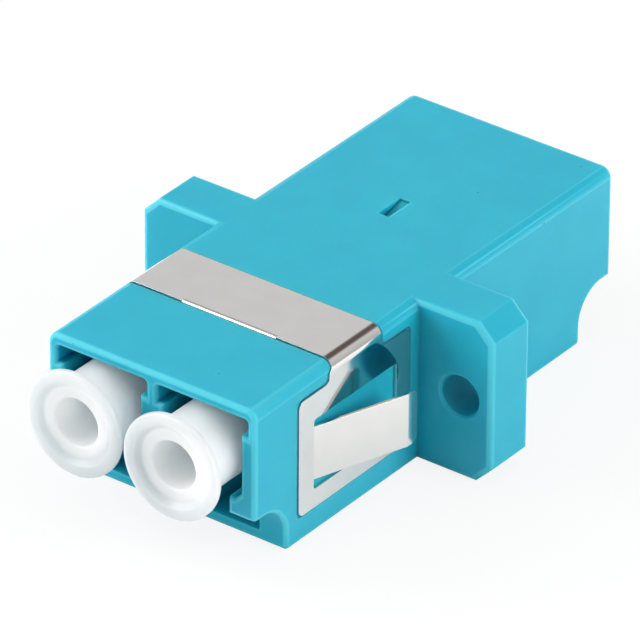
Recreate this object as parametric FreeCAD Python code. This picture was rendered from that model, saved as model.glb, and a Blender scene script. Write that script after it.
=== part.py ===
"""Flanged duplex LC fibre adapter: one moulded housing, a rear holder, two sleeves, a clip and two caps.

Frame: origin at the centre of the two flange holes, on the flange's front face.
+X runs across the two ports, +Y from the front ports to the rear ports, +Z is up, away from the latch
side. All sizes are in millimetres.
"""
import FreeCAD, Part
import math
import os

# ---------------------------------------------------------------- housing, outside
BODY_W = 12.9            # body width, for the usual 13.0 mm panel cut-out
BODY_H = 9.3             # body and flange height
FRONT_LEN = 13.5         # from the flange's front face to the front end
REAR_LEN = 13.5          # from the flange's rear face to the rear end
TOP_EDGE_R = 0.6         # the two long upper edges
EDGE_R = 0.25            # the body's other outer edges, and the ports' mouths
NOTCH_LEN = 2.6          # latch-side cut back at each end
NOTCH_DROP = 0.95        # its roof below the tops of the ports' rails
NOTCH_R = 1.85

FLANGE_W = 22.0
FLANGE_T = 3.2
FLANGE_CHAMFER = 1.0
FLANGE_EDGE_R = 0.3
SCREW_INSET = 2.0        # hole centres, in from the flange's ends
SCREW_HOLE_D = 2.3
SCREW_HOLE_EDGE = 0.12   # chamfer at both mouths

# ---------------------------------------------------------------- ports
PORT_PITCH = 6.25        # between the two fibre axes
TOP_WALL = 0.68          # wall above the ports
ROOF_UP = 2.47           # port's roof above the fibre axis
SILL_DOWN = 2.3          # tops of the rails below the fibre axis
PORT_W = 4.8             # room for the plug's body
RELIEF_W = 5.6           # wider band under the top wall, at each mouth
RELIEF_H = 1.0
RELIEF_DEPTH = 3.0
RELIEF_R = 0.2           # its upper corners
RAIL_CHAMFER = 0.4       # sloped tops of the two rails that carry the plug
RAIL_FLAT = 0.35         # level part of each rail's top; between the rails is the latch's channel
FLOOR_T = 0.6
CATCH_START = 3.0        # rails end here, from the mouth, and the latch snaps out behind them
CATCH_LEN = 4.0
CATCH_FLOOR = 1.3        # floor of the catch pockets above the underside

# ---------------------------------------------------------------- middle wall and sleeve tubes
WALL_T = 1.2             # the housing's own middle wall
TUBE_D = 2.6             # outside of the tubes that hold the sleeves
TUBE_REACH = 4.2         # tube end from the middle plane
FERRULE_HOLE_D = 1.34    # narrow end of the tapered hole in each tube's lip
FERRULE_MOUTH_D = 1.84   # wide end, where a ferrule enters
SLEEVE_D = 1.62
SLEEVE_BORE = 1.246
SLEEVE_LEN = 6.8
SLEEVE_SLIT = 0.3
SLEEVE_CLEAR = 0.03      # all round the sleeve in its tubes
SLEEVE_END_PLAY = 0.1    # at each end

# ---------------------------------------------------------------- rear holder
HOLDER_T = 1.2           # its plate, behind the middle wall
HOLDER_CLEAR = 0.05      # all round the plate in the rear opening
HOLDER_SEAT = 0.02       # between the plate and the middle wall
SPINE_INSET = 0.1        # divider's end, in from the housing's rear end
WINDOW_W = 0.7           # snap window in the top wall
WINDOW_LEN = 1.92
WINDOW_START = 4.1       # front end of the window, behind the middle plane
HOOK_CLEAR = 0.06        # hook in the window
HOOK_LOW = 0.1           # hook's height above the port's roof, at its front
HOOK_SINK = 0.12         # hook's high end below the housing's top

# ---------------------------------------------------------------- panel clip
CLIP_T = 0.15
CLIP_PROUD = 0.05        # sheet stands this far out of its recess
CLIP_SEAT = 0.02         # between the sheet and the recess floor
CLIP_GAP = 0.12          # recess edge round the sheet
CLIP_BEND_R = 0.7        # outside of the two long bends
BAND_FRONT = 7.22        # band's front edge, ahead of the flange
BAND_W = 4.07
NECK_FLARE = 0.27        # the band widens by this, below its bends, at the front
NECK_R = 0.3
TONGUE_W = 5.9           # middle of the band's front edge, bent down into a slot in the top wall
TONGUE_BEND_R = 0.2
TONGUE_GAP = 0.08        # slot ahead of the tongue and beside it
TONGUE_END_GAP = 0.06    # tongue's end above the ports' roof
PLATE_FRONT = 9.97       # side plate's front edge, ahead of the flange
PLATE_REAR = 0.76
PLATE_DROP = 1.17        # its upper edge below the body's top
PLATE_BOTTOM = 1.5       # its lower edge above the underside
PLATE_CORNER_R = 0.4
SLOT_FRONT = 8.75        # opening in the plate, round the spring tab
SLOT_REAR = 1.9
SLOT_TOP_RIM = 1.51      # plate left above the opening
SLOT_BOTTOM_RIM = 1.07
SLOT_CORNER_R = 0.19
TAB_TOP_GAP = 0.41       # between the opening's edges and the tab
TAB_BOTTOM_GAP = 0.6
TAB_LEN = 5.3            # along the body, from its root to its outer bend
TAB_SPRING = 1.86        # how far the outer bend stands off the plate
TAB_LIP = 0.75           # flat lip past the bend
TAB_BEND_R = 0.25
TAB_CORNER_R = 0.4

# ---------------------------------------------------------------- dust caps
CAP_DISC_D = 5.84
CAP_RIM_T = 0.42
CAP_RIM_ROUND = 0.12
CAP_DISH_D = 4.6
CAP_DISH_DEPTH = 0.4
CAP_DISH_SLOPE = 0.3     # how far its wall leans inwards
CAP_HOLE_D = 2.67        # tapered blind hole in the disc
CAP_HOLE_END_D = 2.1
CAP_HOLE_DEPTH = 4.0
CAP_FLARE = 0.15         # small cone between the disc and the barrel
CAP_BARREL_D = 4.34
CAP_BARREL_END_D = 4.2
CAP_END_CHAMFER = 0.3
CAP_ON_TUBE = 2.4        # how far the pushed-home cap covers its tube
CAP_TUBE_CLEAR = 0.05    # all round, cap on tube
CAP_TUBE_GAP = 0.05      # between the tube's end and the cap's inner wall, pushed home
CAP_STAND_OFF = 2.28     # disc's face ahead of the housing, pushed home
RIGHT_CAP_OUT = 0.25     # the right cap stands further out by this

# ---------------------------------------------------------------- places worked out from the sizes
TOP = BODY_H / 2
UNDERSIDE = -BODY_H / 2
FRONT_Y = -FRONT_LEN
REAR_Y = FLANGE_T + REAR_LEN
MID_Y = (FRONT_Y + REAR_Y) / 2
SIDE_X = BODY_W / 2
SCREW_X = FLANGE_W / 2 - SCREW_INSET
PORT_ROOF = TOP - TOP_WALL
AXIS_Z = PORT_ROOF - ROOF_UP
PORT_SILL = AXIS_Z - SILL_DOWN
FLOOR_Z = UNDERSIDE + FLOOR_T
NOTCH_ROOF = PORT_SILL - NOTCH_DROP
LATCH_W = PORT_W - 2 * (RAIL_CHAMFER + RAIL_FLAT)
PORT_XS = (-PORT_PITCH / 2, PORT_PITCH / 2)
WINDOW_Y = MID_Y + WINDOW_START
SLOT_TOP = TOP - PLATE_DROP - SLOT_TOP_RIM
SLOT_BOTTOM = UNDERSIDE + PLATE_BOTTOM + SLOT_BOTTOM_RIM
PAST = 1.0               # how far cutting tools run past a face


# ---------------------------------------------------------------- shape helpers
def box(x0, x1, y0, y1, z0, z1):
    """Block between two corners."""
    return Part.makeBox(x1 - x0, y1 - y0, z1 - z0, FreeCAD.Vector(x0, y0, z0))


def corner_arc(before, corner, after, radius):
    """Start, middle and end of the arc that rounds one corner of a flat outline."""
    to_before = (before - corner).normalize()
    to_after = (after - corner).normalize()
    half = to_before.getAngle(to_after) / 2
    reach = radius / math.tan(half)
    centre = corner + (to_before + to_after).normalize() * (radius / math.sin(half))
    middle = centre + (corner - centre).normalize() * radius
    return corner + to_before * reach, middle, corner + to_after * reach


def outline(points):
    """Closed wire through points given as (vector, corner radius), with round corners where asked."""
    pieces = []
    count = len(points)
    for index, (corner, radius) in enumerate(points):
        before = points[index - 1][0]
        after = points[(index + 1) % count][0]
        if radius > 0:
            pieces.append(corner_arc(before, corner, after, radius))
        else:
            pieces.append((corner, None, corner))
    edges = []
    for index, (start, middle, end) in enumerate(pieces):
        if middle is not None:
            edges.append(Part.Arc(start, middle, end).toShape())
        following = pieces[(index + 1) % count][0]
        if (following - end).Length > 1e-6:
            edges.append(Part.LineSegment(end, following).toShape())
    return Part.Wire(edges)


def prism_x(points, x0, x1):
    """Solid with an outline of (y, z, radius) points, between two places along X."""
    wire = outline([(FreeCAD.Vector(x0, y, z), radius) for y, z, radius in points])
    return Part.Face(wire).extrude(FreeCAD.Vector(x1 - x0, 0, 0))


def prism_y(points, y0, y1):
    """Solid with an outline of (x, z, radius) points, between two places along Y."""
    wire = outline([(FreeCAD.Vector(x, y0, z), radius) for x, z, radius in points])
    return Part.Face(wire).extrude(FreeCAD.Vector(0, y1 - y0, 0))


def prism_z(points, z0, z1):
    """Solid with an outline of (x, y, radius) points, between two heights."""
    wire = outline([(FreeCAD.Vector(x, y, z0), radius) for x, y, radius in points])
    return Part.Face(wire).extrude(FreeCAD.Vector(0, 0, z1 - z0))


def rod_y(x, z, diameter, y0, y1):
    """Cylinder along Y."""
    return Part.makeCylinder(diameter / 2, y1 - y0, FreeCAD.Vector(x, y0, z), FreeCAD.Vector(0, 1, 0))


def cone_y(x, z, d0, d1, y0, y1):
    """Cone along Y, with its two diameters."""
    start = FreeCAD.Vector(x, y0, z)
    return Part.makeCone(d0 / 2, d1 / 2, y1 - y0, start, FreeCAD.Vector(0, 1, 0))


def joined(shapes):
    """Union of several shapes, with seams between flush faces removed."""
    return shapes[0].fuse(shapes[1:]).removeSplitter()


def mirror_x(shape):
    """Copy on the other side of the middle plane."""
    return shape.mirror(FreeCAD.Vector(0, 0, 0), FreeCAD.Vector(1, 0, 0))


def single_solid(shape):
    """The one solid of a finished piece."""
    return shape.Solids[0] if len(shape.Solids) == 1 else shape


# ---------------------------------------------------------------- housing
def end_notches():
    """Latch-side steps across the whole width, at both ends."""
    tools = []
    for end, inward in ((FRONT_Y, 1), (REAR_Y, -1)):
        points = [
            (end - inward * PAST, UNDERSIDE - PAST, 0),
            (end + inward * NOTCH_LEN, UNDERSIDE - PAST, 0),
            (end + inward * NOTCH_LEN, NOTCH_ROOF, NOTCH_R),
            (end - inward * PAST, NOTCH_ROOF, 0),
        ]
        tools.append(prism_x(points, -SIDE_X - PAST, SIDE_X + PAST))
    return tools


def is_long_top_edge(edge):
    """True for the body's two long upper edges."""
    bounds = edge.BoundBox
    return bounds.YLength > BODY_W and bounds.ZMin > TOP - EDGE_R


def is_outer_edge(edge):
    """True for edges with the small rounding: those of both ends, the notches' sides and the underside."""
    bounds = edge.BoundBox
    at_front = bounds.YMax < FRONT_Y + EDGE_R
    at_rear = bounds.YMin > REAR_Y - EDGE_R
    over_rear_notch = at_rear and bounds.XLength > SIDE_X and bounds.ZMax < TOP - EDGE_R
    on_side = bounds.XLength < EDGE_R and bounds.ZMax < NOTCH_ROOF + EDGE_R
    below = bounds.ZMax < UNDERSIDE + EDGE_R
    return at_front or (at_rear and not over_rear_notch) or on_side or below


def body_block():
    """The long body with its notches and rounded edges, still solid."""
    block = box(-SIDE_X, SIDE_X, FRONT_Y, REAR_Y, UNDERSIDE, TOP)
    block = block.cut(end_notches())
    block = block.makeFillet(TOP_EDGE_R, [edge for edge in block.Edges if is_long_top_edge(edge)])
    return block.makeFillet(EDGE_R, [edge for edge in block.Edges if is_outer_edge(edge)])


def mouth_rounding(opening, x, half, end, inward):
    """What is cut away to round the rim of an opening, in the end face at y = end."""
    slab_end = end + inward * 2 * EDGE_R
    low = NOTCH_ROOF - 2 * EDGE_R
    slab = box(x - half, x + half, min(end, slab_end), max(end, slab_end), low, PORT_ROOF + PAST)
    rim = slab.cut(opening)
    inside = slab.BoundBox
    edges = []
    for edge in rim.Edges:
        bounds = edge.BoundBox
        in_face = bounds.YLength < EDGE_R and abs(bounds.YMin - end) < EDGE_R
        across = bounds.XMin > inside.XMin + EDGE_R and bounds.XMax < inside.XMax - EDGE_R
        if in_face and across and bounds.ZMax < inside.ZMax - EDGE_R and bounds.ZMax > low + EDGE_R:
            edges.append(edge)
    return slab.cut(rim.makeFillet(EDGE_R, edges))


def flange_block():
    """The cross flange with its four cut corners."""
    half = FLANGE_W / 2
    cut = FLANGE_CHAMFER
    points = [
        (-half + cut, UNDERSIDE, 0), (half - cut, UNDERSIDE, 0),
        (half, UNDERSIDE + cut, 0), (half, TOP - cut, 0),
        (half - cut, TOP, 0), (-half + cut, TOP, 0),
        (-half, TOP - cut, 0), (-half, UNDERSIDE + cut, 0),
    ]
    block = prism_y(points, 0, FLANGE_T)
    rims = [edge for edge in block.Edges if edge.BoundBox.YLength < FLANGE_EDGE_R]
    return block.makeFillet(FLANGE_EDGE_R, rims)


def screw_hole(x):
    """One plain hole through the flange, with both mouths lightly chamfered."""
    edge = SCREW_HOLE_EDGE
    wide = SCREW_HOLE_D + 2 * edge
    hole = rod_y(x, 0, SCREW_HOLE_D, -PAST, FLANGE_T + PAST)
    front = cone_y(x, 0, wide, SCREW_HOLE_D, 0, edge)
    rear = cone_y(x, 0, SCREW_HOLE_D, wide, FLANGE_T - edge, FLANGE_T)
    return [hole, front, rear]


def port_section(x, half_w, half_latch):
    """Outline points of a plug opening: body on top, sloped rails, latch channel below."""
    slope = RAIL_CHAMFER
    return [
        (x - half_w, PORT_ROOF, 0), (x - half_w, PORT_SILL + slope, 0),
        (x - half_w + slope, PORT_SILL, 0), (x - half_latch, PORT_SILL, 0),
        (x - half_latch, FLOOR_Z, 0), (x + half_latch, FLOOR_Z, 0),
        (x + half_latch, PORT_SILL, 0), (x + half_w - slope, PORT_SILL, 0),
        (x + half_w, PORT_SILL + slope, 0), (x + half_w, PORT_ROOF, 0),
    ]


def mouth_relief(x, y0, y1):
    """Wider band under the top wall at a port's mouth."""
    half = RELIEF_W / 2
    ledge = PORT_ROOF - RELIEF_H
    points = [
        (x - half, ledge, 0), (x + half, ledge, 0),
        (x + half, PORT_ROOF, RELIEF_R), (x - half, PORT_ROOF, RELIEF_R),
    ]
    return prism_y(points, y0, y1)


def catch_pocket(x, y0, y1):
    """Side room behind the rails, where the plug's latch snaps out."""
    half = PORT_W / 2
    return box(x - half, x + half, y0, y1, UNDERSIDE + CATCH_FLOOR, PORT_SILL + RAIL_CHAMFER)


def front_port(x):
    """Everything cut away for one front port."""
    section = port_section(x, PORT_W / 2, LATCH_W / 2)
    opening = prism_y(section, FRONT_Y - PAST, MID_Y - WALL_T)
    relief = mouth_relief(x, FRONT_Y - PAST, FRONT_Y + RELIEF_DEPTH)
    catch_y = FRONT_Y + CATCH_START
    return [opening, relief, catch_pocket(x, catch_y, catch_y + CATCH_LEN)]


def rear_section(clearance):
    """Outline points of the one wide rear opening, drawn in all round by a clearance."""
    half_w = PORT_PITCH / 2 + PORT_W / 2 - clearance
    half_latch = PORT_PITCH / 2 + LATCH_W / 2 - clearance
    roof = PORT_ROOF - clearance
    sill = PORT_SILL + clearance
    floor = FLOOR_Z + clearance
    slope = RAIL_CHAMFER
    return [
        (-half_w, roof, 0), (-half_w, sill + slope, 0), (-half_w + slope, sill, 0),
        (-half_latch, sill, 0), (-half_latch, floor, 0), (half_latch, floor, 0),
        (half_latch, sill, 0), (half_w - slope, sill, 0), (half_w, sill + slope, 0),
        (half_w, roof, 0),
    ]


def rear_opening():
    """Everything cut away behind the middle wall."""
    opening = prism_y(rear_section(0), MID_Y, REAR_Y + PAST)
    reliefs = [mouth_relief(x, REAR_Y - RELIEF_DEPTH, REAR_Y + PAST) for x in PORT_XS]
    catch_y = REAR_Y - CATCH_START
    catches = [catch_pocket(x, catch_y - CATCH_LEN, catch_y) for x in PORT_XS]
    return [opening] + reliefs + catches


def sleeve_tube(x, y_wall, y_end):
    """Tube that stands out from a wall towards a port."""
    return rod_y(x, AXIS_Z, TUBE_D, min(y_wall, y_end), max(y_wall, y_end))


def sleeve_pocket(x, facing):
    """Bore for half a sleeve, and the ferrule's tapered hole in the tube's lip, towards -Y or +Y."""
    pocket_end = MID_Y + facing * (SLEEVE_LEN / 2 + SLEEVE_END_PLAY)
    tube_end = MID_Y + facing * TUBE_REACH
    behind = MID_Y - facing * PAST
    pocket_d = SLEEVE_D + 2 * SLEEVE_CLEAR
    pocket = rod_y(x, AXIS_Z, pocket_d, min(behind, pocket_end), max(behind, pocket_end))
    if facing > 0:
        mouth = cone_y(x, AXIS_Z, FERRULE_HOLE_D, FERRULE_MOUTH_D, pocket_end, tube_end)
    else:
        mouth = cone_y(x, AXIS_Z, FERRULE_MOUTH_D, FERRULE_HOLE_D, tube_end, pocket_end)
    return [pocket, mouth]


def snap_window():
    """Small window in the top wall for the holder's hook."""
    half = WINDOW_W / 2
    return box(-half, half, WINDOW_Y, WINDOW_Y + WINDOW_LEN, PORT_ROOF - PAST, TOP + PAST)


def clip_recess():
    """Band and side recesses that the clip lies in."""
    core = clip_section_solid(-CLIP_T - CLIP_SEAT)
    sheath = box(-FLANGE_W, FLANGE_W, FRONT_Y, 0, UNDERSIDE - PAST, TOP + PAST)
    return sheath.cut(core).common(clip_side_view(CLIP_GAP))


def tongue_slot():
    """Slot through the top wall for the clip's tongue, with room behind it for the whole bend."""
    half = TONGUE_W / 2 + TONGUE_GAP
    front = -BAND_FRONT - TONGUE_GAP
    rear = -BAND_FRONT + TONGUE_BEND_R
    return box(-half, half, front, rear, PORT_ROOF, TOP + PAST)


def housing():
    """One moulding: body, flange, front ports, middle wall, front tubes and rear shell."""
    shape = joined([body_block(), flange_block()])
    half = RELIEF_W / 2 + PAST
    for x in PORT_XS:
        opening = front_port(x)
        shape = shape.cut(opening + [mouth_rounding(opening, x, half, FRONT_Y, 1)])
    opening = rear_opening()
    shape = shape.cut(opening + [mouth_rounding(opening, 0, PORT_PITCH / 2 + half, REAR_Y, -1)])
    shape = shape.fuse([sleeve_tube(x, MID_Y - WALL_T / 2, MID_Y - TUBE_REACH) for x in PORT_XS])
    for x in PORT_XS:
        shape = shape.cut(sleeve_pocket(x, -1))
    for side in (-1, 1):
        shape = shape.cut(screw_hole(side * SCREW_X))
    shape = shape.cut([snap_window(), clip_recess(), tongue_slot()])
    return shape.removeSplitter()


# ---------------------------------------------------------------- rear holder
def holder_divider():
    """Spine between the two rear ports, as wide as what the ports leave."""
    start = MID_Y + HOLDER_SEAT + HOLDER_T / 2
    end = REAR_Y - SPINE_INSET
    spine = prism_y(rear_section(HOLDER_CLEAR), start, end)
    for x in PORT_XS:
        spine = spine.cut(prism_y(port_section(x, PORT_W / 2, LATCH_W / 2), start - PAST, end + PAST))
        spine = spine.cut(mouth_relief(x, REAR_Y - RELIEF_DEPTH, end + PAST))
        catch_y = REAR_Y - CATCH_START
        spine = spine.cut(catch_pocket(x, catch_y - CATCH_LEN, catch_y))
    reach = PORT_PITCH / 2
    middle = box(-reach, reach, start - PAST, end + PAST, UNDERSIDE, TOP)
    return spine.common(middle).cut(end_notches())


def holder_hook():
    """Snap hook on the spine: low at its leading front end, high at its rear end."""
    half = WINDOW_W / 2 - HOOK_CLEAR
    front = WINDOW_Y + HOOK_CLEAR
    rear = WINDOW_Y + WINDOW_LEN - HOOK_CLEAR
    base = PORT_ROOF - HOLDER_CLEAR
    points = [
        (front, base, 0), (rear, base, 0),
        (rear, TOP - HOOK_SINK, 0), (front, PORT_ROOF + HOOK_LOW, 0),
    ]
    return prism_x(points, -half, half)


def inner_holder():
    """Rear holder: plate, two tubes, the divider between the rear ports and its snap hook."""
    front = MID_Y + HOLDER_SEAT
    plate = prism_y(rear_section(HOLDER_CLEAR), front, front + HOLDER_T)
    tubes = [sleeve_tube(x, front + HOLDER_T / 2, MID_Y + TUBE_REACH) for x in PORT_XS]
    shape = joined([plate, holder_divider(), holder_hook()] + tubes)
    for x in PORT_XS:
        shape = shape.cut(sleeve_pocket(x, 1))
    return shape.removeSplitter()


# ---------------------------------------------------------------- sleeves
def sleeve(x):
    """Split alignment sleeve, with its slit on top."""
    start = MID_Y - SLEEVE_LEN / 2
    end = MID_Y + SLEEVE_LEN / 2
    tube = rod_y(x, AXIS_Z, SLEEVE_D, start, end)
    tube = tube.cut(rod_y(x, AXIS_Z, SLEEVE_BORE, start - PAST, end + PAST))
    half = SLEEVE_SLIT / 2
    return tube.cut(box(x - half, x + half, start - PAST, end + PAST, AXIS_Z, AXIS_Z + SLEEVE_D))


# ---------------------------------------------------------------- panel clip
def clip_section_solid(offset):
    """Solid core under the clip: its cross-section, drawn out by an offset from the sheet's outer face."""
    half = SIDE_X + CLIP_PROUD + offset
    top = TOP + CLIP_PROUD + offset
    radius = CLIP_BEND_R + offset
    bottom = UNDERSIDE - PAST
    points = [(-half, bottom, 0), (half, bottom, 0), (half, top, radius), (-half, top, radius)]
    return prism_y(points, FRONT_Y - PAST, PAST)


def clip_side_view(grow):
    """The clip as seen from the side, right across the body, grown by a gap."""
    front = -PLATE_FRONT - grow
    rear = -PLATE_REAR + grow
    low = UNDERSIDE + PLATE_BOTTOM - grow
    high = TOP - PLATE_DROP + grow
    band_front = -BAND_FRONT - grow
    band_rear = -BAND_FRONT + BAND_W + grow
    bend_end = TOP + CLIP_PROUD - CLIP_BEND_R
    sky = TOP + 2 * PAST
    points = [
        (front, low, PLATE_CORNER_R), (rear, low, PLATE_CORNER_R), (rear, high, PLATE_CORNER_R),
        (band_rear, high, NECK_R), (band_rear, sky, 0), (band_front, sky, 0),
        (band_front, bend_end + NECK_FLARE, 0), (band_front - NECK_FLARE, bend_end, 0),
        (band_front - NECK_FLARE, high, NECK_R), (front, high, PLATE_CORNER_R),
    ]
    return prism_x(points, -FLANGE_W, FLANGE_W)


def tab_slots():
    """Opening in both side plates, round the spring tabs."""
    radius = SLOT_CORNER_R
    points = [
        (-SLOT_FRONT, SLOT_BOTTOM, radius), (-SLOT_REAR, SLOT_BOTTOM, radius),
        (-SLOT_REAR, SLOT_TOP, radius), (-SLOT_FRONT, SLOT_TOP, radius),
    ]
    return prism_x(points, -FLANGE_W, FLANGE_W)


def spring_tab():
    """Right-hand spring tab: a sloped leaf from the slot's front edge, with a flat lip at its free end."""
    outer = SIDE_X + CLIP_PROUD
    inner = outer - CLIP_T
    slope = math.atan2(TAB_SPRING, TAB_LEN)
    mitre = CLIP_T * math.tan(slope / 2)
    root = -SLOT_FRONT
    bend = root + TAB_LEN
    end = bend + TAB_LIP
    out = TAB_SPRING
    points = [
        (inner, root - PLATE_CORNER_R, 0), (inner, root + mitre, TAB_BEND_R),
        (inner + out, bend + mitre, TAB_BEND_R), (inner + out, end, 0),
        (outer + out, end, 0), (outer + out, bend, TAB_BEND_R),
        (outer, root, TAB_BEND_R), (outer, root - PLATE_CORNER_R, 0),
    ]
    low = SLOT_BOTTOM + TAB_BOTTOM_GAP
    high = SLOT_TOP - TAB_TOP_GAP
    leaf = prism_z(points, low, high)
    face = [
        (root - PAST, low, 0), (end, low, TAB_CORNER_R),
        (end, high, TAB_CORNER_R), (root - PAST, high, 0),
    ]
    return leaf.common(prism_x(face, 0, FLANGE_W))


def tongue_room():
    """Stretch of the band's front edge that the tongue takes the place of."""
    half = TONGUE_W / 2
    front = -BAND_FRONT - PAST
    return box(-half, half, front, -BAND_FRONT + 2 * TONGUE_BEND_R, UNDERSIDE, TOP + PAST)


def band_tongue():
    """Middle of the band's front edge, bent down into the housing's top wall."""
    half = TONGUE_W / 2
    top = TOP + CLIP_PROUD
    outer = -BAND_FRONT
    root = outer + 2 * TONGUE_BEND_R
    end = PORT_ROOF + TONGUE_END_GAP
    points = [
        (outer, end, 0), (outer + CLIP_T, end, 0), (outer + CLIP_T, top - CLIP_T, TONGUE_BEND_R - CLIP_T),
        (root, top - CLIP_T, 0), (root, top, 0), (outer, top, TONGUE_BEND_R),
    ]
    return prism_x(points, -half, half)


def panel_clip():
    """One folded sheet: top band with its tongue, two side plates and two sprung tabs."""
    sheet = clip_section_solid(0).cut(clip_section_solid(-CLIP_T))
    sheet = sheet.common(clip_side_view(0)).cut([tab_slots(), tongue_room()])
    tab = spring_tab()
    return joined([sheet, band_tongue(), tab, mirror_x(tab)])


# ---------------------------------------------------------------- dust caps
def cap_profile():
    """Half section of a cap, as (radius, depth behind the disc's face) points."""
    tube_end = CAP_STAND_OFF + (MID_Y - TUBE_REACH) - FRONT_Y
    length = tube_end + CAP_ON_TUBE
    inner_wall = tube_end - CAP_TUBE_GAP
    disc = CAP_DISC_D / 2
    barrel = CAP_BARREL_D / 2
    barrel_end = CAP_BARREL_END_D / 2
    bore = TUBE_D / 2 + CAP_TUBE_CLEAR
    dish = CAP_DISH_D / 2
    return [
        (0, CAP_HOLE_DEPTH, 0), (CAP_HOLE_END_D / 2, CAP_HOLE_DEPTH, 0),
        (CAP_HOLE_D / 2, CAP_DISH_DEPTH, 0), (dish - CAP_DISH_SLOPE, CAP_DISH_DEPTH, 0),
        (dish, 0, CAP_RIM_ROUND), (disc, 0, CAP_RIM_ROUND), (disc, CAP_RIM_T, CAP_RIM_ROUND),
        (barrel + CAP_FLARE, CAP_RIM_T, 0), (barrel, CAP_RIM_T + CAP_FLARE, 0),
        (barrel_end, length - CAP_END_CHAMFER, 0), (barrel_end - CAP_END_CHAMFER, length, 0),
        (bore, length, 0), (bore, inner_wall, 0), (0, inner_wall, 0),
    ]


def dust_cap(x, pulled_out):
    """Dust cap on a front tube, standing out of the port by an extra amount."""
    face_y = FRONT_Y - CAP_STAND_OFF - pulled_out
    points = [(FreeCAD.Vector(x + r, face_y + depth, AXIS_Z), radius) for r, depth, radius in cap_profile()]
    section = Part.Face(outline(points))
    return section.revolve(FreeCAD.Vector(x, face_y, AXIS_Z), FreeCAD.Vector(0, 1, 0), 360)


# ---------------------------------------------------------------- all pieces
def pieces():
    """Every separate piece by name."""
    left, right = PORT_XS
    return {
        "housing": housing(),
        "inner_holder": inner_holder(),
        "sleeve_left": sleeve(left),
        "sleeve_right": sleeve(right),
        "panel_clip": panel_clip(),
        "dust_cap_left": dust_cap(left, 0),
        "dust_cap_right": dust_cap(right, RIGHT_CAP_OUT),
    }


os.makedirs("parts", exist_ok=True)
for name, shape in pieces().items():
    piece = single_solid(shape)
    bounds = piece.BoundBox
    print(name, "solids", len(shape.Solids), "valid", piece.isValid(), "volume", round(piece.Volume, 2),
          "x", round(bounds.XMin, 2), round(bounds.XMax, 2), "y", round(bounds.YMin, 2),
          round(bounds.YMax, 2), "z", round(bounds.ZMin, 2), round(bounds.ZMax, 2))
    piece.exportStep("parts/" + name + ".step")
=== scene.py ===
"""Dresses a flanged duplex LC fibre adapter: aqua moulding, steel panel clip, sleeves and two dust caps."""

import logging
import math
from dataclasses import dataclass
from enum import Enum

import bmesh
import bpy
from mathutils import Matrix, Vector


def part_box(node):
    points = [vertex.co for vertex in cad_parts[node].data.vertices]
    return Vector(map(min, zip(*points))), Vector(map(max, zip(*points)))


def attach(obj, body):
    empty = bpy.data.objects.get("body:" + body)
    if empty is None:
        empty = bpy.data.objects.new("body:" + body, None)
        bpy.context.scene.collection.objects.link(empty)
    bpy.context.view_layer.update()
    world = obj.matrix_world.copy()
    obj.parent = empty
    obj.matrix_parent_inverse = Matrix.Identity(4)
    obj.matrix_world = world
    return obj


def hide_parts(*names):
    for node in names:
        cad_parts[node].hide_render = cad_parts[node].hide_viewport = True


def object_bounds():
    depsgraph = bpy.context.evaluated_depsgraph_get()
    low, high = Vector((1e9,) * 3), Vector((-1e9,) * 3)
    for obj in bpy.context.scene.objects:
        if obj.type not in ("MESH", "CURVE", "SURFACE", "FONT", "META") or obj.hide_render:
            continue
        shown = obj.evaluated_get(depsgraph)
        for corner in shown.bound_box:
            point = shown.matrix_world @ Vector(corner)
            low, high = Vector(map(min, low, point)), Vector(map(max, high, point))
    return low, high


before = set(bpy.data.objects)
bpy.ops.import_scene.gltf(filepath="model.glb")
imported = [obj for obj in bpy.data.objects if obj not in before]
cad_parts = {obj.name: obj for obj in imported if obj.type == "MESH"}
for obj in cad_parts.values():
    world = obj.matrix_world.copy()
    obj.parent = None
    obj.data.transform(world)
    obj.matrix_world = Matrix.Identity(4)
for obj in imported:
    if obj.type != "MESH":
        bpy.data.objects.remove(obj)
cad_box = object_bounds()

log = logging.getLogger("adapter")
MM = 0.001
# face attribute that masks the painted highlight on tightly rounded edges
BEND_LAYER = "outward_bend"
FLAT_TURN = 0.05           # radians; faces that meet at less than this count as one
MOULDED_TURN = 0.7         # radians; a face meets a rounded neighbour at less than this
WIDE_BEND = 2.0            # per mm; a curve of more than half a millimetre radius counts as flat
TIGHT_BEND = 3.2           # per mm; one of 0.3 mm or less counts in full
JOIN_GAP = 0.0005 * MM     # corners of a CAD mesh's triangles nearer than this become one
SEAM_GAP = 0.0002 * MM     # the same where a turned grid closes on itself
FLAT_DEG = 0.3             # triangles that meet at less than this become one flat face
MOULDED_SHARP_DEG = 36.0   # edges of the mouldings and the clip stay sharp past this
TURNED_SHARP_DEG = 35.0    # and those of the turned pieces past this
LARGE_FACE_WEIGHT = 80     # past 50, large faces count for more in the shading
CLOUD_SPAN = (0.35, 0.65)  # noise values between which a colour goes from one tone to the other
GRAIN_SPAN = (0.3, 0.7)    # noise values between which a surface goes from smoother to rougher

Colour = tuple[float, float, float, float]


# ------------------------------------------------------------------ names
class Body(Enum):
    """Rigid bodies of the frame that a piece can ride on."""

    ADAPTER = "adapter"
    CAP_LEFT = "cap_left"
    CAP_RIGHT = "cap_right"


class Slot(Enum):
    """Material slots of the record."""

    AQUA = "aqua_plastic"
    STEEL = "polished_steel"
    WHITE = "white_plastic"
    CERAMIC = "ceramic"


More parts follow.
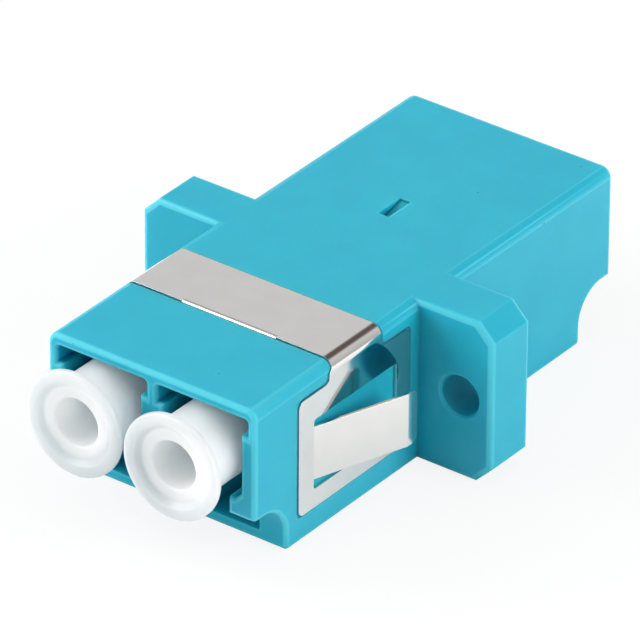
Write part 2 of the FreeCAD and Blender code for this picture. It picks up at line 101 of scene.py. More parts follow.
# ------------------------------------------------------------------ node wiring
class Wiring:
    """Short way to add nodes to one tree and to join them."""

    def __init__(self, tree: bpy.types.NodeTree) -> None:
        """Starts on an empty tree.

        Args:
            tree: the node tree to fill; whatever it held is removed.
        """
        self.tree = tree
        tree.nodes.clear()

    def add(self, kind: str, settings: dict | None = None, **values: object) -> bpy.types.Node:
        """Adds one node.

        Args:
            kind: the node's type name.
            settings: attributes of the node itself, such as its operation.
            values: input sockets by name, with blanks written as underscores.

        Returns:
            The new node.
        """
        node = self.tree.nodes.new(kind)
        for name, value in (settings or {}).items():
            setattr(node, name, value)
        for name, value in values.items():
            self.feed(node.inputs[name.replace("_", " ")], value)
        return node

    def feed(self, socket: bpy.types.NodeSocket, value: object) -> None:
        """Joins a socket to another node's output, or sets its value.

        Args:
            socket: the input socket.
            value: an output socket, or a plain number, colour or vector.
        """
        if isinstance(value, bpy.types.NodeSocket):
            self.tree.links.new(value, socket)
        else:
            socket.default_value = value

    def math(self, operation: str, *values: object) -> bpy.types.NodeSocket:
        """Adds a Math node.

        Args:
            operation: what it works out.
            values: its operands, in order.

        Returns:
            The result's socket.
        """
        node = self.add("ShaderNodeMath", {"operation": operation})
        for socket, value in zip(node.inputs, values):
            self.feed(socket, value)
        return node.outputs[0]

    def blend(self, share: object, low: object, high: object) -> bpy.types.NodeSocket:
        """Mixes two colours.

        Args:
            share: how much of the second colour, from 0 to 1.
            low: the first colour.
            high: the second colour.

        Returns:
            The mixed colour's socket.
        """
        node = self.add("ShaderNodeMix", {"data_type": "RGBA"})
        for socket, value in ((node.inputs[0], share), (node.inputs[6], low), (node.inputs[7], high)):
            self.feed(socket, value)
        return node.outputs[2]

    def dot(self, first: object, second: object) -> bpy.types.NodeSocket:
        """Multiplies two directions into the cosine between them.

        Args:
            first: a direction's socket.
            second: another one, or a plain vector.

        Returns:
            The cosine's socket.
        """
        node = self.add("ShaderNodeVectorMath", {"operation": "DOT_PRODUCT"})
        self.feed(node.inputs[0], first)
        self.feed(node.inputs[1], second)
        return node.outputs["Value"]

    def noise(self, place: bpy.types.NodeSocket, scale: float, detail: float,
              roughness: float = 0.5) -> bpy.types.NodeSocket:
        """Adds a noise pattern.

        Args:
            place: the coordinates it is laid on.
            scale: its repeats in a unit of those.
            detail: how many finer layers it has.
            roughness: how strong they are.

        Returns:
            The noise value's socket.
        """
        node = self.add("ShaderNodeTexNoise", Vector=place, Scale=scale, Detail=detail, Roughness=roughness)
        return node.outputs["Fac"]

    def remap(self, value: object, low: float, high: float, to_low: float,
              to_high: float) -> bpy.types.NodeSocket:
        """Stretches a range of values to another one and clamps it.

        Args:
            value: the socket to stretch.
            low: value that becomes to_low.
            high: value that becomes to_high.
            to_low: result at low.
            to_high: result at high.

        Returns:
            The stretched value's socket.
        """
        node = self.add("ShaderNodeMapRange")
        for socket, number in zip(node.inputs, (value, low, high, to_low, to_high)):
            self.feed(socket, number)
        return node.outputs[0]


def millimetre_coordinates(wires: Wiring,
                           stretch: tuple[float, float, float] = (1, 1, 1)) -> bpy.types.NodeSocket:
    """Object coordinates in millimetres, for the patterns of a finish.

    Args:
        wires: the material's wiring.
        stretch: how much the pattern is squeezed along each axis.

    Returns:
        The coordinates' socket.
    """
    place = wires.add("ShaderNodeTexCoord")
    scale = tuple(1 / MM * share for share in stretch)
    mapping = wires.add("ShaderNodeMapping", Vector=place.outputs["Object"], Scale=scale)
    return mapping.outputs["Vector"]


def new_material(name: str) -> tuple[bpy.types.Material, Wiring, bpy.types.Node]:
    """Material with a Principled shader joined to its output.

    Args:
        name: the material's name.

    Returns:
        The material, its wiring and the shader node.
    """
    material = bpy.data.materials.new(name)
    material.use_nodes = True
    wires = Wiring(material.node_tree)
    shader = wires.add("ShaderNodeBsdfPrincipled")
    wires.add("ShaderNodeOutputMaterial", Surface=shader.outputs["BSDF"])
    return material, wires, shader


# ------------------------------------------------------------------ finishes
@dataclass(frozen=True)
class Clouds:
    """Soft clouds in which a colour drifts between two tones."""

    scale: float
    detail: float
    noise_roughness: float = 0.5

    def tint(self, wires: Wiring, place: bpy.types.NodeSocket, first: Colour,
             second: Colour) -> bpy.types.NodeSocket:
        """Adds the clouds.

        Args:
            wires: the material's wiring.
            place: its coordinates.
            first: the colour between the clouds.
            second: the colour in them.

        Returns:
            The clouded colour's socket.
        """
        noise = wires.noise(place, self.scale, self.detail, self.noise_roughness)
        return wires.blend(wires.remap(noise, *CLOUD_SPAN, 0, 1), first, second)


@dataclass(frozen=True)
class Grain:
    """Fine relief of a finish, which also makes it smoother here and rougher there."""

    scale: float
    detail: float
    noise_roughness: float
    smoother: float
    rougher: float
    strength: float
    height: float

    def noise(self, wires: Wiring, place: bpy.types.NodeSocket) -> bpy.types.NodeSocket:
        """Adds the noise that the rest is made from."""
        return wires.noise(place, self.scale, self.detail, self.noise_roughness)

    def satin(self, wires: Wiring, noise: bpy.types.NodeSocket, middle: float) -> bpy.types.NodeSocket:
        """Spreads the roughness round its middle value."""
        return wires.remap(noise, *GRAIN_SPAN, middle - self.smoother, middle + self.rougher)

    def relief(self, wires: Wiring, noise: bpy.types.NodeSocket,
               under: bpy.types.NodeSocket | None = None) -> bpy.types.NodeSocket:
        """Adds the bump.

        Args:
            wires: the material's wiring.
            noise: the grain's noise.
            under: the normal that it is laid on, if not the mesh's own.

        Returns:
            The new normal's socket.
        """
        given = {} if under is None else {"Normal": under}
        bump = wires.add("ShaderNodeBump", Strength=self.strength, Distance=self.height, Height=noise,
                         **given)
        return bump.outputs["Normal"]


@dataclass(frozen=True)
class Scatter:
    """How light wanders inside a plastic."""

    share: float
    reach: tuple[float, float, float]
    scale: float

    def apply(self, shader: bpy.types.Node) -> None:
        """Sets the shader's own sockets.

        Args:
            shader: the Principled shader.
        """
        shader.inputs["Subsurface Weight"].default_value = self.share
        shader.inputs["Subsurface Radius"].default_value = self.reach
        shader.inputs["Subsurface Scale"].default_value = self.scale


@dataclass(frozen=True)
class AquaMoulding:
    """Satin aqua plastic, a little cloudy, with a painted highlight on rounded edges, painted shade in
    recesses and a few dark specks.
    """

    name: str = "aqua_moulding"
    colour: Colour = (0.016, 0.426, 0.570, 1)
    cloud: Colour = (0.020, 0.450, 0.595, 1)
    clouds: Clouds = Clouds(scale=0.35, detail=3.0, noise_roughness=0.55)
    # painted highlight: the paler colour laid on rounded edges and tight bends, where light catches them
    edge: Colour = (0.15, 0.66, 0.74, 1)
    edge_width: float = 0.16 * MM
    edge_highlight_share: float = 0.5
    edge_highlight_cosines: tuple[float, float] = (0.995, 0.80)
    edge_samples: int = 4
    # painted shade: the darker colour laid in sheltered recesses, where shade falls
    recess_shade: Colour = (0.001, 0.330, 0.460, 1)
    recess_reach: float = 2.6 * MM
    recess_openness: tuple[float, float] = (0.10, 0.60)
    recess_rougher: float = 0.5
    recess_samples: int = 4
    speck: Colour = (0.02, 0.10, 0.13, 1)
    speck_scale: float = 0.35
    speck_radii: tuple[float, float] = (0.012, 0.022)
    speck_share: float = 0.85
    roughness: float = 0.38
    grain: Grain = Grain(scale=9.0, detail=4.0, noise_roughness=0.6, smoother=0.05, rougher=0.07,
                         strength=0.3, height=0.015 * MM)
    refraction: float = 1.49
    gloss_tint: Colour = (0.5, 0.95, 1.0, 1)
    scatter: Scatter = Scatter(share=0.7, reach=(0.15, 0.8, 1.0), scale=1.2 * MM)

    def build(self) -> bpy.types.Material:
        """Makes the material.

        Returns:
            The material.
        """
        material, wires, shader = new_material(self.name)
        place = millimetre_coordinates(wires)
        tint = self.clouds.tint(wires, place, self.colour, self.cloud)
        # painted highlight on rounded edges: the colour goes paler where the Bevel normal turns from the true
        # normal, or on tight bends
        rounded = wires.add("ShaderNodeBevel", {"samples": self.edge_samples},
                            Radius=self.edge_width).outputs["Normal"]
        flat = wires.add("ShaderNodeNewGeometry").outputs["True Normal"]
        edge_highlight_mask = wires.remap(wires.dot(rounded, flat), *self.edge_highlight_cosines, 0, 1)
        bend = wires.add("ShaderNodeAttribute", {"attribute_name": BEND_LAYER}).outputs["Fac"]
        pale = wires.math("MULTIPLY", wires.math("MAXIMUM", edge_highlight_mask, bend), self.edge_highlight_share)
        tint = wires.blend(pale, tint, self.edge)
        # painted shade in recesses: where ambient occlusion finds the surface sheltered, the colour darkens
        # towards the recess shade colour and the surface gets rougher
        shelter = wires.add("ShaderNodeAmbientOcclusion", {"samples": self.recess_samples},
                            Distance=self.recess_reach)
        recess_shade_share = wires.remap(shelter.outputs["AO"], *self.recess_openness, 1, 0)
        tint = wires.blend(recess_shade_share, tint, self.recess_shade)
        spots = wires.add("ShaderNodeTexVoronoi", Vector=place, Scale=self.speck_scale)
        spot = wires.remap(spots.outputs["Distance"], *self.speck_radii, self.speck_share, 0)
        wires.feed(shader.inputs["Base Color"], wires.blend(spot, tint, self.speck))
        grain = self.grain.noise(wires, place)
        satin = self.grain.satin(wires, grain, self.roughness)
        wires.feed(shader.inputs["Roughness"], wires.math("MULTIPLY_ADD", recess_shade_share, self.recess_rougher, satin))
        wires.feed(shader.inputs["Normal"], self.grain.relief(wires, grain, rounded))
        shader.inputs["IOR"].default_value = self.refraction
        shader.inputs["Specular Tint"].default_value = self.gloss_tint
        self.scatter.apply(shader)
        return material


@dataclass(frozen=True)
class PolishedSheet:
    """Bright rolled steel with faint rolling lines and slightly duller patches."""

    name: str = "polished_sheet"
    colour: Colour = (0.80, 0.785, 0.765, 1)
    dull: Colour = (0.775, 0.76, 0.74, 1)
    clouds: Clouds = Clouds(scale=0.6, detail=2.0)
    roughness: float = 0.07
    lines_stretch: tuple[float, float, float] = (0.5, 6.0, 6.0)
    lines: Grain = Grain(scale=1.5, detail=5.0, noise_roughness=0.65, smoother=0.02, rougher=0.04,
                         strength=0.08, height=0.003 * MM)
    edge_width: float = 0.03 * MM
    edge_samples: int = 2

    def build(self) -> bpy.types.Material:
        """Makes the material.

        Returns:
            The material.
        """
        material, wires, shader = new_material(self.name)
        place = millimetre_coordinates(wires)
        wires.feed(shader.inputs["Base Color"], self.clouds.tint(wires, place, self.colour, self.dull))
        lines = self.lines.noise(wires, millimetre_coordinates(wires, self.lines_stretch))
        wires.feed(shader.inputs["Roughness"], self.lines.satin(wires, lines, self.roughness))
        rounded = wires.add("ShaderNodeBevel", {"samples": self.edge_samples},
                            Radius=self.edge_width).outputs["Normal"]
        wires.feed(shader.inputs["Normal"], self.lines.relief(wires, lines, rounded))
        shader.inputs["Metallic"].default_value = 1.0
        return material


@dataclass(frozen=True)
class WhiteMoulding:
    """Soft white plastic that lets a little light through."""

    name: str = "white_moulding"
    colour: Colour = (0.905, 0.92, 0.925, 1)
    cloud: Colour = (0.88, 0.90, 0.905, 1)
    clouds: Clouds = Clouds(scale=0.5, detail=3.0)
    roughness: float = 0.34
    grain: Grain = Grain(scale=8.0, detail=4.0, noise_roughness=0.5, smoother=0.05, rougher=0.07,
                         strength=0.2, height=0.01 * MM)
    refraction: float = 1.5
    scatter: Scatter = Scatter(share=1.0, reach=(1.0, 1.0, 1.0), scale=3.5 * MM)

    def build(self) -> bpy.types.Material:
        """Makes the material.

        Returns:
            The material.
        """
        material, wires, shader = new_material(self.name)
        place = millimetre_coordinates(wires)
        wires.feed(shader.inputs["Base Color"], self.clouds.tint(wires, place, self.colour, self.cloud))
        grain = self.grain.noise(wires, place)
        wires.feed(shader.inputs["Roughness"], self.grain.satin(wires, grain, self.roughness))
        wires.feed(shader.inputs["Normal"], self.grain.relief(wires, grain))
        shader.inputs["IOR"].default_value = self.refraction
        self.scatter.apply(shader)
        return material


@dataclass(frozen=True)
class GroundCeramic:
    """Finely ground off-white ceramic of the split sleeves."""

    name: str = "ground_ceramic"
    colour: Colour = (0.84, 0.82, 0.77, 1)
    cloud: Colour = (0.80, 0.78, 0.73, 1)
    roughness: float = 0.22
    lines_stretch: tuple[float, float, float] = (1.0, 12.0, 1.0)
    lines: Grain = Grain(scale=2.0, detail=3.0, noise_roughness=0.5, smoother=0.04, rougher=0.06,
                         strength=0.1, height=0.003 * MM)

    def build(self) -> bpy.types.Material:
        """Makes the material.

        Returns:
            The material.
        """
        material, wires, shader = new_material(self.name)
        lines = self.lines.noise(wires, millimetre_coordinates(wires, self.lines_stretch))
        wires.feed(shader.inputs["Base Color"], wires.blend(lines, self.colour, self.cloud))
        wires.feed(shader.inputs["Roughness"], self.lines.satin(wires, lines, self.roughness))
        wires.feed(shader.inputs["Normal"], self.lines.relief(wires, lines))
        return material


# ------------------------------------------------------------------ mesh helpers
def link_piece(name: str, mesh: bpy.types.Mesh, material: bpy.types.Material) -> bpy.types.Object:
    """Puts a finished mesh into the scene as a piece.

    Args:
        name: the piece's name.
        mesh: its mesh, already in place.
        material: its one material.

    Returns:
        The new object, at the origin.
    """
    piece = bpy.data.objects.new(name, mesh)
    bpy.context.scene.collection.objects.link(piece)
    mesh.materials.clear()
    mesh.materials.append(material)
    return piece


def shade_by_angle(work: bmesh.types.BMesh, sharp_deg: float) -> None:
    """Smooth faces with sharp edges where the surface really breaks.

    Args:
        work: the mesh being worked on.
        sharp_deg: angle between faces past which an edge is sharp.
    """
    limit = math.radians(sharp_deg)
    for face in work.faces:
        face.smooth = True
    for edge in work.edges:
        edge.smooth = len(edge.link_faces) == 2 and edge.calc_face_angle(0) < limit


def weigh_normals(piece: bpy.types.Object) -> None:
    """Keeps large flat faces evenly shaded right up to their rounded edges.

    Args:
        piece: the object to shade.
    """
    keep = piece.modifiers.new("even_shading", "WEIGHTED_NORMAL")
    keep.keep_sharp = True
    keep.weight = LARGE_FACE_WEIGHT


def mark_bends(work: bmesh.types.BMesh) -> None:
    """Stores on each face how tightly it is rounded outwards: 0 on flats and wide curves, 1 on tight edges.
    The aqua finish lays its painted edge highlight by this.

    A face's own tightness counts by as much as its bent neighbours have, so one narrow face alone stays 0.

    Args:
        work: the mesh being worked on.
    """
    layer = work.faces.layers.float.new(BEND_LAYER)
    own: dict[bmesh.types.BMFace, float] = {}
    bent = {face: [edge for edge in face.edges if FLAT_TURN < edge.calc_face_angle_signed(0) < MOULDED_TURN]
            for face in work.faces}
    for face, edges in bent.items():
        width = face.calc_area() / max(edge.calc_length() for edge in face.edges)
        tightness = max((edge.calc_face_angle_signed(0) for edge in edges), default=0) / width * MM
        own[face] = min(max((tightness - WIDE_BEND) / (TIGHT_BEND - WIDE_BEND), 0), 1)
    for face, edges in bent.items():
        beside = [own[other] for edge in edges for other in edge.link_faces if other is not face]
        face[layer] = own[face] * sum(beside) / max(len(beside), 1)


def merged_copy(node: str) -> bpy.types.Mesh:
    """Copy of a CAD node's mesh with its loose triangles joined and its flat faces made whole.

    Args:
        node: the CAD node's name.

    Returns:
        The new mesh.
    """
    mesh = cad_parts[node].data.copy()
    work = bmesh.new()
    work.from_mesh(mesh)
    bmesh.ops.remove_doubles(work, verts=work.verts, dist=JOIN_GAP)
    bmesh.ops.dissolve_limit(work, angle_limit=math.radians(FLAT_DEG), verts=work.verts, edges=work.edges)
    shade_by_angle(work, MOULDED_SHARP_DEG)
    mark_bends(work)
    work.to_mesh(mesh)
    work.free()
    return mesh


def rounded_path(corners: list[tuple[float, float, float]], steps: int = 5) -> list[tuple[float, float]]:
    """Half section of a turned piece, with its corners rounded.

    Args:
        corners: (radius, place along the axis, corner radius) of each corner.
        steps: how many faces round each corner.

    Returns:
        Points as (radius, place along the axis).
    """
    points: list[tuple[float, float]] = []
    for index, (radius, along, rounding) in enumerate(corners):
        here = Vector((radius, along))
        if rounding <= 0 or index in (0, len(corners) - 1):
            points.append((here.x, here.y))
            continue
        before = (Vector(corners[index - 1][:2]) - here).normalized()
        after = (Vector(corners[index + 1][:2]) - here).normalized()
        half = before.angle(after) / 2
        centre = here + (before + after).normalized() * (rounding / math.sin(half))
        start = here + before * (rounding / math.tan(half)) - centre
        end = here + after * (rounding / math.tan(half)) - centre
        sweep = start.angle_signed(end)
        for step in range(steps + 1):
            turned = Matrix.Rotation(-sweep * step / steps, 2) @ start
            points.append((centre.x + turned.x, centre.y + turned.y))
    return points


# ------------------------------------------------------------------ turning with geometry nodes
class TurningTree:
    """Geometry Nodes that turn a half section about an axis along Y."""

    def __init__(self) -> None:
        """Builds the node group with its named inputs."""
        self.group = bpy.data.node_groups.new("turned_piece", "GeometryNodeTree")
        face = self.group.interface
        face.new_socket("Geometry", in_out="INPUT", socket_type="NodeSocketGeometry")
        self.sockets = {
            "Segments": face.new_socket("Segments", in_out="INPUT", socket_type="NodeSocketInt"),
            "Axis X": face.new_socket("Axis X", in_out="INPUT", socket_type="NodeSocketFloat"),
            "Axis Z": face.new_socket("Axis Z", in_out="INPUT", socket_type="NodeSocketFloat"),
            "First Angle": face.new_socket("First Angle", in_out="INPUT", socket_type="NodeSocketFloat"),
            "Sweep": face.new_socket("Sweep", in_out="INPUT", socket_type="NodeSocketFloat"),
            "Finish": face.new_socket("Finish", in_out="INPUT", socket_type="NodeSocketMaterial"),
        }
        face.new_socket("Geometry", in_out="OUTPUT", socket_type="NodeSocketGeometry")
        self._wire(Wiring(self.group))

    def _wire(self, wires: Wiring) -> None:
        """Lays a grid round the axis, each of its rows one point of the section.

        Args:
            wires: the group's wiring.
        """
        given = wires.add("NodeGroupInput").outputs
        points = wires.add("GeometryNodeAttributeDomainSize", Geometry=given["Geometry"])
        count = points.outputs["Point Count"]
        around = wires.math("ADD", given["Segments"], 1)
        grid = wires.add("GeometryNodeMeshGrid", Vertices_X=around, Vertices_Y=count).outputs["Mesh"]
        number = wires.add("GeometryNodeInputIndex").outputs[0]
        column = wires.math("FLOOR", wires.math("DIVIDE", wires.math("ADD", number, 0.5), count))
        row = wires.math("SUBTRACT", number, wires.math("MULTIPLY", column, count))
        pick = wires.add("GeometryNodeSampleIndex", {"data_type": "FLOAT_VECTOR", "domain": "POINT"},
                         Geometry=given["Geometry"], Index=row,
                         Value=wires.add("GeometryNodeInputPosition").outputs[0])
        section = wires.add("ShaderNodeSeparateXYZ", Vector=pick.outputs[0]).outputs
        share = wires.math("DIVIDE", column, given["Segments"])
        angle = wires.math("MULTIPLY_ADD", share, given["Sweep"], given["First Angle"])
        across = wires.math("MULTIPLY_ADD", section["X"], wires.math("SINE", angle), given["Axis X"])
        up = wires.math("MULTIPLY_ADD", section["X"], wires.math("COSINE", angle), given["Axis Z"])
        spot = wires.add("ShaderNodeCombineXYZ", X=across, Y=section["Y"], Z=up)
        laid = wires.add("GeometryNodeSetPosition", Geometry=grid, Position=spot.outputs[0])
        closed = wires.add("GeometryNodeMergeByDistance", Geometry=laid.outputs[0], Distance=SEAM_GAP)
        whole = wires.add("GeometryNodeRealizeInstances", Geometry=closed.outputs[0])
        dressed = wires.add("GeometryNodeSetMaterial", Geometry=whole.outputs[0], Material=given["Finish"])
        wires.add("NodeGroupOutput", Geometry=dressed.outputs[0])

    def turn(self, name: str, section: list[tuple[float, float]], axis: tuple[float, float],
             material: bpy.types.Material, segments: int, gap: float = 0.0) -> bpy.types.Mesh:
        """Turns one half section and returns it as a plain mesh.

        Args:
            name: the mesh's name.
            section: (radius, place along Y) of its points, in metres.
            axis: the axis's X and Z.
            material: the piece's finish.
            segments: faces all round.
            gap: angle left open on top, in radians.

        Returns:
            A closed mesh whose faces point outwards.
        """
        base = bpy.data.meshes.new(name + "_section")
        base.from_pydata([(r, y, 0) for r, y in section], [(i, i + 1) for i in range(len(section) - 1)], [])
        holder = bpy.data.objects.new(name + "_section", base)
        bpy.context.scene.collection.objects.link(holder)
        nodes = holder.modifiers.new("turning", "NODES")
        nodes.node_group = self.group
        values = {"Segments": segments, "Axis X": axis[0], "Axis Z": axis[1], "First Angle": gap / 2,
                  "Sweep": 2 * math.pi - gap, "Finish": material}
        for key, value in values.items():
            nodes[self.sockets[key].identifier] = value
        seen = holder.evaluated_get(bpy.context.evaluated_depsgraph_get())
        mesh = bpy.data.meshes.new_from_object(seen)
        mesh.name = name
        bpy.data.objects.remove(holder)
        work = bmesh.new()
        work.from_mesh(mesh)
        open_edges = [edge for edge in work.edges if len(edge.link_faces) == 1]
        if open_edges:
            bmesh.ops.holes_fill(work, edges=open_edges)
        bmesh.ops.recalc_face_normals(work, faces=work.faces)
        shade_by_angle(work, TURNED_SHARP_DEG)
        work.to_mesh(mesh)
        work.free()
        return mesh


# ------------------------------------------------------------------ sub-assemblies
@dataclass
class Housing:
    """The aqua housing and the rear holder inside it."""

    finish: AquaMoulding = AquaMoulding()

    def build(self) -> list[bpy.types.Object]:
        """Dresses both mouldings.

        Returns:
            The housing and the holder.
        """
        material = self.finish.build()
        made = []
        for node in ("housing", "inner_holder"):
            piece = link_piece(node + "_moulding", merged_copy(node), material)
            weigh_normals(piece)
            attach(piece, Body.ADAPTER.value)
            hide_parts(node)
            made.append(piece)
        return made


@dataclass
class PanelClip:
    """The folded steel clip with its two sprung tabs."""

    finish: PolishedSheet = PolishedSheet()

    def build(self) -> bpy.types.Object:
        """Dresses the clip.

        Returns:
            The clip.
        """
        piece = link_piece("clip_sheet", merged_copy("panel_clip"), self.finish.build())
        weigh_normals(piece)
        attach(piece, Body.ADAPTER.value)
        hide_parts("panel_clip")
        return piece


@dataclass
class DustCap:
    """One white cap: a rimmed disc with a shallow dish and a deep tapered hole, and a barrel."""

    node: str
    body: Body
    rim_t: float = 0.42 * MM
    rim_round: float = 0.12 * MM
    dish_r: float = 2.3 * MM
    dish_slope: float = 0.3 * MM
    dish_depth: float = 0.3 * MM
    hole_r: float = 1.335 * MM
    hole_end_r: float = 1.05 * MM
    hole_depth: float = 4.0 * MM
    flare: float = 0.15 * MM
    barrel_r: float = 2.17 * MM
    barrel_end_r: float = 2.1 * MM
    end_chamfer: float = 0.3 * MM
    bore_r: float = 1.35 * MM
    bore_depth: float = 2.45 * MM
    soft: float = 0.08 * MM
    segments: int = 128

    def section(self, face: float, end: float, rim_r: float) -> list[tuple[float, float]]:
        """Half section from the hole's floor, round the disc and barrel, to the bore's floor.

        Args:
            face: Y of the disc's face.
            end: Y of the barrel's inner end.
            rim_r: the disc's radius.

        Returns:
            Points as (radius, Y).
        """
        soft = self.soft
        return rounded_path([
            (0, face + self.hole_depth, 0),
            (self.hole_end_r, face + self.hole_depth, soft * 2),
            (self.hole_r, face + self.dish_depth, soft * 1.5),
            (self.dish_r - self.dish_slope, face + self.dish_depth, soft * 3),
            (self.dish_r, face, soft * 2),
            (rim_r, face, self.rim_round),
            (rim_r, face + self.rim_t, self.rim_round),
            (self.barrel_r + self.flare, face + self.rim_t, soft),
            (self.barrel_r, face + self.rim_t + self.flare, soft),
            (self.barrel_end_r, end - self.end_chamfer, soft),
            (self.barrel_end_r - self.end_chamfer, end, soft),
            (self.bore_r, end, soft / 2),
            (self.bore_r, end - self.bore_depth, soft),
            (0, end - self.bore_depth, 0),
        ])

    def build(self, tree: TurningTree, material: bpy.types.Material) -> bpy.types.Object:
        """Turns and dresses the cap.

        Args:
            tree: the turning node group.
            material: the white finish.

        Returns:
            The cap.
        """
        low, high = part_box(self.node)
        middle = (low + high) / 2
        section = self.section(low.y, high.y, (high.x - low.x) / 2)
        mesh = tree.turn(self.node + "_turned", section, (middle.x, middle.z), material, self.segments)
        piece = link_piece(self.node + "_turned", mesh, material)
        weigh_normals(piece)
        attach(piece, self.body.value)
        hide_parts(self.node)
        return piece


@dataclass
class SplitSleeve:
    """One ceramic alignment sleeve with a slit on top."""

    node: str
    bore_r: float = 0.623 * MM
    slit: float = 0.3 * MM
    edge: float = 0.04 * MM
    segments: int = 72

    def build(self, tree: TurningTree, material: bpy.types.Material) -> bpy.types.Object:
        """Turns and dresses the sleeve.

        Args:
            tree: the turning node group.
            material: the ceramic finish.

        Returns:
            The sleeve.
        """
        low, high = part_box(self.node)
        outer = (high.x - low.x) / 2
        axis = ((low.x + high.x) / 2, low.z + outer)
        middle = (low.y + high.y) / 2
        ring = rounded_path([
            (self.bore_r, middle, 0), (self.bore_r, low.y, self.edge), (outer, low.y, self.edge),
            (outer, high.y, self.edge), (self.bore_r, high.y, self.edge), (self.bore_r, middle, 0),
        ])
        gap = 2 * math.asin(self.slit / 2 / outer)
        mesh = tree.turn(self.node + "_turned", ring, axis, material, self.segments, gap)
        piece = link_piece(self.node + "_turned", mesh, material)
        weigh_normals(piece)
        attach(piece, Body.ADAPTER.value)
        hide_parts(self.node)
        return piece


# ------------------------------------------------------------------ studio
def heading(azimuth: float, elevation: float) -> Vector:
    """Direction from the adapter's middle.

    Args:
        azimuth: degrees round from the capped ports towards +X.
        elevation: degrees above the floor.

    Returns:
        The direction, one long.
    """
    turn, rise = math.radians(azimuth), math.radians(elevation)
    return Vector((math.sin(turn) * math.cos(rise), -math.cos(turn) * math.cos(rise), math.sin(rise)))


@dataclass(frozen=True)
class Softbox:
    """One large soft lamp aimed at the adapter."""

    name: str
    azimuth: float
    elevation: float
    distance: float
    size: float
    power: float

    def build(self, target: Vector) -> bpy.types.Object:
        """Places the lamp.

        Args:
            target: the point it is aimed at.

        Returns:
            The lamp's object.
        """
        lamp = bpy.data.lights.new(self.name, "AREA")
        lamp.shape = "DISK"
        lamp.size = self.size
        lamp.energy = self.power
        away = heading(self.azimuth, self.elevation)
        holder = bpy.data.objects.new(self.name, lamp)
        bpy.context.scene.collection.objects.link(holder)
        holder.location = target + away * self.distance
        holder.rotation_mode = "QUATERNION"
        holder.rotation_quaternion = away.to_track_quat("Z", "Y")
        return holder


